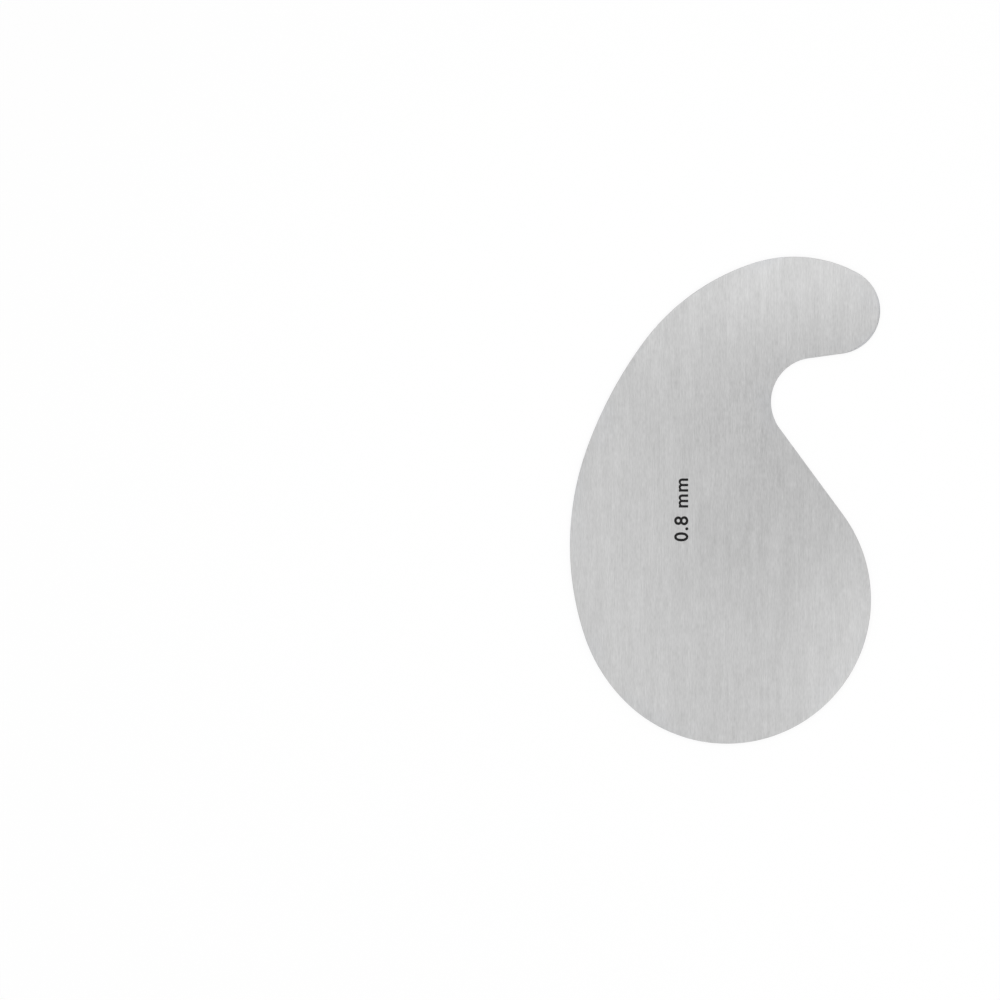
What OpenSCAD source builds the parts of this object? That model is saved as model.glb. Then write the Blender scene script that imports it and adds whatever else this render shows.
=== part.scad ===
// Gooseneck scraper: one flat blade of hardened spring steel, cut from sheet and ground square all the
// way round, so that any stretch of its edge can scrape a hollow, a moulding or a round.
//
// The blade lies flat on its underside, with its length along Y and its nose towards +X. The origin is
// under the middle of its box. The edge is a chain of arcs that run smoothly into each other, from the
// nose over the back to the belly. Two short straight edges join the nose and the belly to the throat,
// the hollow between them.
//
// Each curve ends where the edge faces a given way, in degrees: 0 is +X, the way the nose points, 90 is
// +Y, up the blade, and 180 is -X, out from the back.

/* [Sheet] */
// Thickness of the spring steel sheet
thickness = 0.8; // [0.4:0.1:1.2]

/* [Nose and crown] */
// Radius of the nose
nose_r = 9.75; // [8:0.25:11]
// Way the edge faces where the nose ends
nose_end = 61.5; // [56:0.5:66]
// Radius of the crown, over the top of the neck
crown_r = 30; // [26:0.5:34]
// Way the edge faces where the crown ends
crown_end = 108; // [104:0.5:112]

/* [Back] */
// Radius of the nape, down the back of the neck
nape_r = 50; // [44:0.5:56]
// Way the edge faces where the nape ends
nape_end = 144; // [140:0.5:148]
// Radius of the shoulder, the flattest stretch
shoulder_r = 95; // [85:1:105]
// Way the edge faces where the shoulder ends
shoulder_end = 160; // [156:0.5:164]
// Radius of the back
back_r = 65; // [60:0.5:70]
// Way the edge faces where the back ends
back_end = 198; // [194:0.5:202]

/* [Heel and belly] */
// Radius of the heel, between the back and the belly
heel_r = 38; // [35:0.5:42]
// Way the edge faces where the heel ends
heel_end = 225; // [218:0.5:234]
// Radius of the belly, the large round at the bottom
belly_r = 32.5; // [29:0.5:35]

/* [Throat] */
// Radius of the hollow under the nose
throat_r = 10; // [8:0.25:11]
// How far the hollow's centre is set back from the nose's centre
throat_back = 4.9; // [3:0.1:7]
// How far the hollow's centre lies below the nose's centre
throat_drop = 20.6; // [19.6:0.1:22.6]

/* [Edge] */
// Longest step along a curve
edge_step = 0.5; // [0.25:0.25:2]

/* [Hidden] */

// The convex curves in turn, and the ways that the edge faces where each hands over to the next
radii = [nose_r, crown_r, nape_r, shoulder_r, back_r, heel_r, belly_r];
handovers = [nose_end, crown_end, nape_end, shoulder_end, back_end, heel_end];
nose = 0;
belly = len(radii) - 1;

// Unit vector that points a given way
function toward(way) = [cos(way), sin(way)];

// Centre of a curve, measured from the nose's. Curves that run smoothly into each other have their
// centres in line with the point where they meet.
function centre(i) =
    i == nose ? [0, 0] : centre(i - 1) + (radii[i - 1] - radii[i]) * toward(handovers[i - 1]);

throat = [-throat_back, -throat_drop];

// Way that the straight edge faces between a curve and the throat. It touches both, so it is turned by
// the same angle from the line between their centres: turn is 1 if counter-clockwise, -1 if clockwise.
function straight_way(i, turn) =
    let (span = throat - centre(i))
    atan2(span.y, span.x) + turn * acos((radii[i] + throat_r) / norm(span));

nose_start = straight_way(nose, 1);
belly_end = straight_way(belly, -1) + 360;
ways = concat([nose_start], handovers, [belly_end]);

// The throat is hollow, so its own curve turns the other way round its centre
throat_start = belly_end - 180;
throat_end = nose_start + 180;

// Point of a circle that lies a given way from its centre
function on_circle(c, r, way) = c + r * toward(way);

// Points of an arc from its start up to, but not at, its end
function arc(c, r, from, to) =
    let (steps = ceil(abs(to - from) * PI / 180 * r / edge_step))
    [for (i = [0 : steps - 1]) on_circle(c, r, from + (to - from) * i / steps)];

// The whole edge, counter-clockwise from the underside of the nose
edge = [
    for (i = [nose : belly]) each arc(centre(i), radii[i], ways[i], ways[i + 1]),
    on_circle(centre(belly), belly_r, belly_end),
    each arc(throat, throat_r, throat_start, throat_end),
    on_circle(throat, throat_r, throat_end)
];

xs = [for (p = edge) p.x];
ys = [for (p = edge) p.y];
box_middle = [min(xs) + max(xs), min(ys) + max(ys)] / 2;

// The whole scraper: a plain blade, with nothing fixed to it
module blade() {
    color("silver")
        linear_extrude(height = thickness)
            translate(-box_middle)
                polygon(edge);
}

blade();
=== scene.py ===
"""Gooseneck scraper: a flat blade of brushed spring steel, seen from straight above under soft light."""
import math

import bmesh
import bpy
import numpy as np
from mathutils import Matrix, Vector
from mathutils.geometry import delaunay_2d_cdt


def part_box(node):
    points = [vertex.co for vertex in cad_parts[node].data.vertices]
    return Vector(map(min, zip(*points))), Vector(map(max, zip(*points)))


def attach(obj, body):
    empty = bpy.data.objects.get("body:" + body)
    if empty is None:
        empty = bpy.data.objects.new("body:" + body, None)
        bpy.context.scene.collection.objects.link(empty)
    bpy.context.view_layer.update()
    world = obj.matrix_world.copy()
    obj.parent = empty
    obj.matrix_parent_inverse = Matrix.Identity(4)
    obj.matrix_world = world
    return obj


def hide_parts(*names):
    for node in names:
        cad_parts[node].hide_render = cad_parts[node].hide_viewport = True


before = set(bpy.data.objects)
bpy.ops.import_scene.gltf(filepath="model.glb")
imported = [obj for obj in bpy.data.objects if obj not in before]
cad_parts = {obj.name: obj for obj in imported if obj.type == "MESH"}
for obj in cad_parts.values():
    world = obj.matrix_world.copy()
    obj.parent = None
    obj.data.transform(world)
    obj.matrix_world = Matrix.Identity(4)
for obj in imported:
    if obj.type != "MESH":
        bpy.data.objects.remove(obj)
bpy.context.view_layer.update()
scene = bpy.context.scene
scene.view_settings.view_transform = "Standard"


# Blade
# One flat piece of hardened spring steel sheet, cut to a gooseneck outline. Both faces are brushed along
# its length, and its edge is ground square all the way round. Nothing is fixed to it: bare hands hold it.

# The steel's top face lies below the sheet's full height by the thickness of the ink printed on it
INK_FILM = 0.00001

# Steps of the mesh along the edge and over the faces, and the strip left free between the two
EDGE_STEP = 0.0005
FACE_STEP = 0.003
FACE_MARGIN = 0.0018

# The cut draws the top face down a little along the edge, and more round the tight nose
ROLL_WIDTH = 0.00012
ROLL_DROP = 0.00005
NOSE_ROLL_WIDTH = 0.00045
NOSE_ROLL_DROP = 0.00009
NOSE_RADIUS = 0.0105
PLAIN_RADIUS = 0.025
ROLL_STEPS = 5
ROLL_EASE = 0.006

# The other side of the edge has only its corner taken off
CORNER = 0.00004
CORNER_STEPS = 2

# A narrow flat strip on each face leads up to the edge, so that the face is shaded flat
RIM_LEAD = 0.00006

# Points nearer than SAME_POINT are one. A face whose normal rises by more than UPWARD is part of the top.
# A step may be too long by STEP_SLACK of its length, so that the steps of the arcs stay whole.
SAME_POINT = 1e-7
UPWARD = 0.9
STEP_SLACK = 0.01

blade_low, blade_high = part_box("blade")
face_z = blade_high.z - INK_FILM
under_z = blade_low.z


def outline(node):
    """The points round a flat node's top face, in order, counter-clockwise from above."""
    solid = bmesh.new()
    solid.from_mesh(node.data)
    bmesh.ops.remove_doubles(solid, verts=solid.verts, dist=SAME_POINT)
    top = [face for face in solid.faces if face.normal.z > UPWARD]
    sides = {(corner.vert, corner.link_loop_next.vert) for face in top for corner in face.loops}
    following = {a: b for a, b in sides if (b, a) not in sides}
    points = [max(following, key=lambda point: tuple(point.co))]
    while following[points[-1]] is not points[0]:
        points.append(following[points[-1]])
    found = np.array([point.co.xy for point in points])
    solid.free()
    return found


def stepped(points, step):
    """A closed outline with points added along its straight stretches, so that no step is longer."""
    parts = []
    for start, end in zip(points, np.roll(points, -1, 0)):
        pieces = math.ceil(np.linalg.norm(end - start) / step - STEP_SLACK)
        parts.append(start + (end - start) * np.arange(pieces)[:, None] / pieces)
    return np.concatenate(parts)


edge = stepped(outline(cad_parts["blade"]), EDGE_STEP)
count = len(edge)
ahead = np.roll(edge, -1, 0) - edge
step = np.linalg.norm(ahead, axis=1)
facing = np.stack([ahead[:, 1], -ahead[:, 0]], 1) / step[:, None]
before = np.roll(facing, 1, 0)
outward = facing + before
outward /= np.linalg.norm(outward, axis=1)[:, None]
run = np.concatenate([[0], np.cumsum(step)])

# How tight the edge is, from 0 where it is straight, hollow or gently round to 1 round the nose. It is
# averaged over the stretch that the roll takes to grow, and eased at both ends.
bend = np.arcsin(before[:, 0] * facing[:, 1] - before[:, 1] * facing[:, 0]) / step
spread = int(ROLL_EASE / EDGE_STEP)
bend = np.mean([np.roll(bend, i) for i in range(-spread, spread + 1)], 0)
tight = np.clip((bend - 1 / PLAIN_RADIUS) / (1 / NOSE_RADIUS - 1 / PLAIN_RADIUS), 0, 1)
tight = tight * tight * (3 - 2 * tight)
roll_width = ROLL_WIDTH + (NOSE_ROLL_WIDTH - ROLL_WIDTH) * tight
roll_drop = ROLL_DROP + (NOSE_ROLL_DROP - ROLL_DROP) * tight

# Rings of points from the top face over the edge to the underside: how far in and how high
rings = [(roll_width + RIM_LEAD, face_z)]
for turn in np.linspace(0, math.pi / 2, ROLL_STEPS + 1):
    rings.append((roll_width * (1 - math.sin(turn)), face_z - roll_drop * (1 - math.cos(turn))))
for turn in np.linspace(0, math.pi / 2, CORNER_STEPS + 1):
    rings.append((CORNER * (1 - math.cos(turn)), under_z + CORNER * (1 - math.sin(turn))))
rings.append((CORNER + RIM_LEAD, under_z))
points = []
for inset, height in rings:
    flat = edge - outward * np.broadcast_to(inset, count)[:, None]
    points.append(np.column_stack([flat, np.broadcast_to(height, count)]))

# Both faces are filled with even triangles between the innermost ring and a grid of points. Only the
# triangles inside the ring are kept, and corners nearer than SAME_CORNER are one.
KEEP_INSIDE = 1
SAME_CORNER = 1e-9
columns = np.arange(blade_low.x, blade_high.x, FACE_STEP)
rows = np.arange(blade_low.y, blade_high.y, FACE_STEP * math.sqrt(3) / 2)
grid_x, grid_y = np.meshgrid(columns, rows)
grid_x[1::2] += FACE_STEP / 2
grid = np.stack([grid_x.ravel(), grid_y.ravel()], 1)
gap = grid[:, None] - edge[None]
nearest = (gap ** 2).sum(2).argmin(1)
depth = -(gap[np.arange(len(grid)), nearest] * outward[nearest]).sum(1)
inside = depth > FACE_MARGIN
filling = grid[inside]
corners = [Vector(point) for point in np.concatenate([points[0][:, :2], filling])]
innermost = list(range(count))
_, _, triangles, origins, _, _ = delaunay_2d_cdt(corners, [], [innermost], KEEP_INSIDE, SAME_CORNER)
triangles = [[origins[corner][0] for corner in triangle] for triangle in triangles]

last_ring = (len(rings) - 1) * count
top_filling = len(rings) * count
under_filling = top_filling + len(filling)
vertices = np.concatenate(points + [
    np.column_stack([filling, np.full(len(filling), face_z)]),
    np.column_stack([filling, np.full(len(filling), under_z)]),
])

# The grain map gives, in metres, the place across the brushing and along it. On the faces the brushing
# runs along the blade, and round the edge the finer grinding runs along the edge. The underside and the
# edge start further across, so that no mark of theirs repeats one of the top face.
UNDERSIDE_GRAIN = 0.5
EDGE_GRAIN = 1.0
EDGE_FINENESS = 3
profile = EDGE_FINENESS * np.cumsum([np.zeros(count)] + [
    np.linalg.norm(b - a, axis=1) for a, b in zip(points, points[1:])
], 0)
faces = []
grain = []
for triangle in triangles:
    top = [c if c < count else c - count + top_filling for c in triangle]
    under = [c + last_ring if c < count else c - count + under_filling for c in reversed(triangle)]
    faces += [top, under]
    grain += [vertices[c, :2] for c in top]
    grain += [vertices[c, :2] + (UNDERSIDE_GRAIN, 0) for c in under]
for ring in range(len(rings) - 1):
    near, far = ring * count, (ring + 1) * count
    for i in range(count):
        j = (i + 1) % count
        faces.append([near + i, far + i, far + j, near + j])
        if ring in (0, len(rings) - 2):
            grain += [vertices[c, :2] + (UNDERSIDE_GRAIN * (ring > 0), 0) for c in faces[-1]]
        else:
            grain += [
                (EDGE_GRAIN + profile[ring, i], run[i]),
                (EDGE_GRAIN + profile[ring + 1, i], run[i]),
                (EDGE_GRAIN + profile[ring + 1, j], run[i + 1]),
                (EDGE_GRAIN + profile[ring, j], run[i + 1]),
            ]

blade_mesh = bpy.data.meshes.new("steel_blade")
blade_mesh.from_pydata(vertices.tolist(), [], faces)
blade_mesh.polygons.foreach_set("use_smooth", np.ones(len(faces), bool))
blade_mesh.uv_layers.new(name="grain").data.foreach_set("uv", np.array(grain, np.float32).ravel())

# Grinding and handling roughen the steel towards the edge, and the same mask darkens its colour there as
# painted shade: from 0 well inside to 1 at the rim, which is the first and last two rings, and most on
# the ground edge itself
WEAR_AND_SHADE_REACH = 0.0065
GROUND_WEAR_AND_SHADE = 4
RIM_RINGS = [0, 1, -2, -1]
ring_wear_and_shade = np.full(len(rings), GROUND_WEAR_AND_SHADE)
ring_wear_and_shade[RIM_RINGS] = 1
face_wear_and_shade = np.clip(1 - depth[inside] / WEAR_AND_SHADE_REACH, 0, 1) ** 2
wear_and_shade = np.concatenate([np.repeat(ring_wear_and_shade, count), face_wear_and_shade, face_wear_and_shade])
blade_mesh.attributes.new("wear_and_shade", "FLOAT", "POINT").data.foreach_set("value", wear_and_shade.astype(np.float32))
steel_blade = bpy.data.objects.new("steel_blade", blade_mesh)
scene.collection.objects.link(steel_blade)


class Shade:
    """A shader socket. Arithmetic on it adds Math nodes, and add() adds any other node."""

    def __init__(self, tree, socket=None):
        self.tree = tree
        self.socket = socket

    def add(self, kind, settings, sockets):
        """A new node of that kind, with its settings made and then its sockets set or linked."""
        node = self.tree.nodes.new("ShaderNode" + kind)
        for name, value in settings.items():
            setattr(node, name, value)
        shown = [socket for socket in node.inputs if socket.enabled]
        for name, value in sockets.items():
            target = shown[name] if isinstance(name, int) else next(s for s in shown if s.name == name)
            if isinstance(value, Shade):
                self.tree.links.new(value.socket, target)
            else:
                target.default_value = value
        return Shade(self.tree, next(socket for socket in node.outputs if socket.enabled))

    def out(self, name):
        """Another output of the same node."""
        return Shade(self.tree, self.socket.node.outputs[name])

    def feed(self, target):
        """Links this value to a socket."""
        self.tree.links.new(self.socket, target)

    def __add__(self, other):
        return self.add("Math", {"operation": "ADD"}, {0: self, 1: other})

    def __radd__(self, other):
        return self + other

    def __sub__(self, other):
        return self.add("Math", {"operation": "SUBTRACT"}, {0: self, 1: other})

    def __rsub__(self, other):
        return self.add("Math", {"operation": "SUBTRACT"}, {0: other, 1: self})

    def __mul__(self, other):
        return self.add("Math", {"operation": "MULTIPLY"}, {0: self, 1: other})

    def __rmul__(self, other):
        return self * other


STEEL = (0.58, 0.58, 0.58)
STEEL_ROUGHNESS = 0.34

# Brush marks, each by its width and length. Strokes and bands also have how strongly they show.
STROKES = {
    (0.00022, 0.0010): 0.140,
    (0.00025, 0.0025): 0.105,
    (0.00035, 0.0070): 0.062,
    (0.00045, 0.0300): 0.045,
}
BANDS = {(0.0014, 0.0028): 0.055, (0.0016, 0.016): 0.042, (0.003, 0.020): 0.055}
HAIRLINE = (0.00008, 0.008)
HAIRLINE_TONE = 0.12
GROOVE = (0.00025, 0.015)
GROOVE_DEPTH = 0.000004
CLOUD = (0.006, 0.020)
CLOUD_TONE = 0.05
STROKE_ROUGHNESS = 0.5
CLOUD_ROUGHNESS = 0.05

# Towards the edge the steel is rougher, and its colour is darker in patches as painted shade. Here and
# there the heat of grinding has left it faintly blue.
WEAR_ROUGHNESS = 0.02
EDGE_SHADE_PATCH = 0.013
EDGE_SHADE = 0.025
EDGE_SHADE_SWING = 0.1
HEAT_BLOOM = (0.572, 0.578, 0.591)
BLOOM_PATCH = 0.012
BLOOM_SWING = 4
BLOOM_RARITY = 0.1

# Each length of mark is read from its own stretch of the noise, so that no two of them line up. Noise
# swings round its middle, and each finer layer of it shows by a share of the one before.
NOISE_SHIFT = 100000
NOISE_MIDDLE = 0.5
FINER_SHARE = 0.6

brushed = bpy.data.materials.new("brushed_spring_steel")
brushed.use_nodes = True
canvas = Shade(brushed.node_tree)
place = canvas.add("SeparateXYZ", {}, {"Vector": canvas.add("UVMap", {"uv_map": "grain"}, {})})


def marks(place, width, length, detail=0):
    """Brush marks of about that width and length, as a value that swings round 0 by about 0.25."""
    spot = place.add("CombineXYZ", {}, {
        "X": place.out("X") * (1 / width) + NOISE_SHIFT * length,
        "Y": place.out("Y") * (1 / length),
    })
    noise = {"Vector": spot, "Scale": 1, "Detail": detail, "Roughness": FINER_SHARE}
    return place.add("TexNoise", {"noise_dimensions": "2D"}, noise) - NOISE_MIDDLE


def patches(spot, size, layer, detail=1):
    """Patches of about that size all round the blade, as a value that swings round 0 by about 0.25."""
    noise = {"Vector": spot, "W": layer, "Scale": 1 / size, "Detail": detail, "Roughness": FINER_SHARE}
    return spot.add("TexNoise", {"noise_dimensions": "4D"}, noise) - NOISE_MIDDLE


strokes = sum(share * marks(place, *size) for size, share in STROKES.items())
bands = sum(share * marks(place, *size) for size, share in BANDS.items())
hairlines = marks(place, *HAIRLINE, detail=1)
clouds = marks(place, *CLOUD, detail=2)
spot = canvas.add("TexCoord", {}, {}).out("Object")
worn_and_shaded = canvas.add("Attribute", {"attribute_name": "wear_and_shade"}, {}).out("Fac")
# Painted shade: the steel's colour is darkened towards the edge, in patches
edge_shade = worn_and_shaded * (EDGE_SHADE + EDGE_SHADE_SWING * patches(spot, EDGE_SHADE_PATCH, layer=1))
bloom = worn_and_shaded * (BLOOM_SWING * patches(spot, BLOOM_PATCH, layer=2) - BLOOM_RARITY)
# The steel's colour is scaled by the brush marks' grain and darkened by the painted shade
tone_and_shade = 1 + strokes + bands + HAIRLINE_TONE * hairlines + CLOUD_TONE * clouds - edge_shade
colour = canvas.add("Mix", {"data_type": "RGBA"}, {
    "Factor": bloom,
    "A": (*STEEL, 1),
    "B": (*HEAT_BLOOM, 1),
})
toned_and_shaded = canvas.add("VectorMath", {"operation": "SCALE"}, {"Vector": colour, "Scale": tone_and_shade})
grooves = canvas.add("Bump", {}, {
    "Strength": 1,
    "Distance": GROOVE_DEPTH,
    "Height": hairlines + marks(place, *GROOVE),
})
unevenness = STROKE_ROUGHNESS * strokes + CLOUD_ROUGHNESS * clouds
roughness = STEEL_ROUGHNESS + unevenness + WEAR_ROUGHNESS * worn_and_shaded
steel = brushed.node_tree.nodes["Principled BSDF"]
steel.inputs["Metallic"].default_value = 1
toned_and_shaded.feed(steel.inputs["Base Color"])
roughness.feed(steel.inputs["Roughness"])
grooves.feed(steel.inputs["Normal"])
blade_mesh.materials.append(brushed)
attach(steel_blade, "root")
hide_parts("blade")


# Thickness mark
# The sheet's thickness in plain figures, printed in dark ink on the middle of the top face. It reads up
# the blade, as a thin film that stands just clear of the steel.

MARK_WORDS = "0.8 mm"
MARK_HEIGHT = 0.0032
MARK_WEIGHT = 0.02
MARK_SPACING = 1.12
MARK_MIDDLE = (-0.0099, -0.0022)

# The ink reaches a little into the steel, so that no gap shows under it
INK_DEPTH = 0.00001

# The film is thin in spots, where it looks lighter and rougher. They set in where the noise passes
# THIN_FROM, and would be at their lightest at THIN_TO.
INK = (0.006, 0.006, 0.006)
THIN_INK = (0.016, 0.016, 0.016)
THIN_SPOT = 0.0004
THIN_DETAIL = 2
THIN_FROM = 0.35
THIN_TO = 0.95
INK_SHEEN = 0.2
INK_ROUGHNESS = 0.45
THIN_ROUGHNESS = 0.25
INK_GRAIN = 0.000003

words = bpy.data.curves.new("thickness_mark", "FONT")
words.body = MARK_WORDS
words.align_x = "CENTER"
words.align_y = "CENTER"
words.offset = MARK_WEIGHT
words.space_character = MARK_SPACING
words.extrude = MARK_HEIGHT
lettering = bpy.data.objects.new("lettering", words)
scene.collection.objects.link(lettering)
drawn = lettering.evaluated_get(bpy.context.evaluated_depsgraph_get())
mark_mesh = bpy.data.meshes.new_from_object(drawn)
bpy.data.objects.remove(lettering)

# The letters are drawn to a size of the font's own, with some thickness. Here they are turned, brought to
# their size and place, and their two sides are set to the top and the bottom of the film.
shape = np.zeros(len(mark_mesh.vertices) * 3)
mark_mesh.vertices.foreach_get("co", shape)
shape = shape.reshape(-1, 3)
low, high = shape.min(0), shape.max(0)
size = MARK_HEIGHT / (high[1] - low[1])
letters = (shape - (low + high) / 2) * size
placed = np.column_stack([
    MARK_MIDDLE[0] - letters[:, 1],
    MARK_MIDDLE[1] + letters[:, 0],
    np.where(letters[:, 2] > 0, face_z + INK_FILM, face_z - INK_DEPTH),
])
mark_mesh.vertices.foreach_set("co", placed.ravel())
weld = bmesh.new()
weld.from_mesh(mark_mesh)
bmesh.ops.remove_doubles(weld, verts=weld.verts, dist=SAME_POINT)
bmesh.ops.recalc_face_normals(weld, faces=weld.faces)
weld.to_mesh(mark_mesh)
weld.free()
thickness_mark = bpy.data.objects.new("thickness_mark", mark_mesh)
scene.collection.objects.link(thickness_mark)

printed = bpy.data.materials.new("mark_ink")
printed.use_nodes = True
canvas = Shade(printed.node_tree)
spot = canvas.add("TexCoord", {}, {}).out("Object")
thin_spots = canvas.add("TexNoise", {}, {"Vector": spot, "Scale": 1 / THIN_SPOT, "Detail": THIN_DETAIL})
thinness = canvas.add("MapRange", {}, {"Value": thin_spots, "From Min": THIN_FROM, "From Max": THIN_TO})
film = canvas.add("Mix", {"data_type": "RGBA"}, {
    "Factor": thinness,
    "A": (*INK, 1),
    "B": (*THIN_INK, 1),
})
grain_of_ink = canvas.add("Bump", {}, {"Strength": 1, "Distance": INK_GRAIN, "Height": thin_spots})
ink = printed.node_tree.nodes["Principled BSDF"]
ink.inputs["Specular IOR Level"].default_value = INK_SHEEN
film.feed(ink.inputs["Base Color"])
(INK_ROUGHNESS + THIN_ROUGHNESS * thin_spots).feed(ink.inputs["Roughness"])
grain_of_ink.feed(ink.inputs["Normal"])
mark_mesh.materials.clear()
mark_mesh.materials.append(printed)
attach(thickness_mark, "root")


# Floor
# A plain white floor that the blade lies on. It looks white to the camera and in the steel, and keeps
# a share of its real shading, so that the blade's shadow stays on it.

FLOOR_SIZE = 40
FLOOR_WHITE = (1, 1, 1, 1)
SHADING_KEPT = 0.15

floor_mesh = bpy.data.meshes.new("floor")
half = FLOOR_SIZE / 2
floor_mesh.from_pydata(
    [(-half, -half, under_z), (half, -half, under_z), (half, half, under_z), (-half, half, under_z)],
    [], [(0, 1, 2, 3)],
)
floor = bpy.data.objects.new("floor", floor_mesh)
scene.collection.objects.link(floor)
paper = bpy.data.materials.new("white_floor")
paper.use_nodes = True
canvas = Shade(paper.node_tree)
ray = canvas.add("LightPath", {}, {})
seen = canvas.add("Math", {"operation": "MAXIMUM"}, {
    0: ray.out("Is Camera Ray"),
    1: ray.out("Is Glossy Ray") + ray.out("Is Transmission Ray"),
})
matt = canvas.add("BsdfDiffuse", {}, {"Color": FLOOR_WHITE})
white = canvas.add("Emission", {}, {"Color": FLOOR_WHITE, "Strength": 1})
mixed = canvas.add("MixShader", {}, {0: seen * (1 - SHADING_KEPT), 1: matt, 2: white})
mixed.feed(paper.node_tree.nodes["Material Output"].inputs["Surface"])
floor_mesh.materials.append(paper)


# Light
# Three soft boxes hang level, close above the blade: behind it, to its left, and in front to its right.
# Two strips stand upright beyond it, so that the steel has something to show from the side. The room is
# even and dimmer, and the steel beside the throat, which shows the most of it, looks a little darker.

ROOM = 0.51
ROOM_WHITE = (1, 1, 1, 1)
DOWN = (0, 0, -1)

# Each lamp by its place, the way that it faces, its size, and how bright its face is, where 1 is white
LAMPS = {
    "back_box": {"at": (-0.033, 0.121, 0.2), "faces": DOWN, "size": (0.49, 0.127), "level": 1.08},
    "left_box": {"at": (-0.161, -0.108, 0.2), "faces": DOWN, "size": (0.338, 0.277), "level": 0.585},
    "front_box": {"at": (0.136, -0.136, 0.2), "faces": DOWN, "size": (0.178, 0.25), "level": 1.21},
    "back_strip": {
        "at": (0.25, 0.35, 0.14), "faces": (-0.25, -0.35, 0), "size": (0.5, 0.2), "level": 0.85,
    },
    "front_strip": {
        "at": (-0.3, -0.3, 0.14), "faces": (0.3, 0.3, 0), "size": (0.4, 0.2), "level": 0.75,
    },
}
room = bpy.data.worlds.new("room")
room.use_nodes = True
walls = room.node_tree.nodes["Background"]
walls.inputs["Color"].default_value = ROOM_WHITE
walls.inputs["Strength"].default_value = ROOM
scene.world = room
for name, setting in LAMPS.items():
    lamp = bpy.data.lights.new(name, "AREA")
    lamp.shape = "RECTANGLE"
    lamp.size, lamp.size_y = setting["size"]
    lamp.energy = setting["level"] * math.pi * lamp.size * lamp.size_y
    holder = bpy.data.objects.new(name, lamp)
    holder.location = setting["at"]
    holder.rotation_euler = Vector(setting["faces"]).to_track_quat("-Z", "Y").to_euler()
    holder.visible_camera = False
    scene.collection.objects.link(holder)


# Camera
# Straight above the blade and square to it, with a long lens. It is framed so that the blade's box fills
# the same pixels as in the photograph.

PHOTO_SIZE = 1000
BOX_LEFT = 570.1
BOX_RIGHT = 880.1
BOX_TOP = 256.7
BOX_BOTTOM = 743.65
LENS = 135
SENSOR = 36

pixel = (blade_high.y - blade_low.y) / (BOX_BOTTOM - BOX_TOP)
off_x = (BOX_LEFT + BOX_RIGHT - PHOTO_SIZE) / 2 * pixel
off_y = (PHOTO_SIZE - BOX_TOP - BOX_BOTTOM) / 2 * pixel
eye = bpy.data.cameras.new("camera")
eye.lens = LENS
eye.sensor_width = SENSOR
camera = bpy.data.objects.new("camera", eye)
camera.location = (
    (blade_low.x + blade_high.x) / 2 - off_x,
    (blade_low.y + blade_high.y) / 2 - off_y,
    face_z + PHOTO_SIZE * pixel * LENS / SENSOR,
)
scene.collection.objects.link(camera)
scene.camera = camera
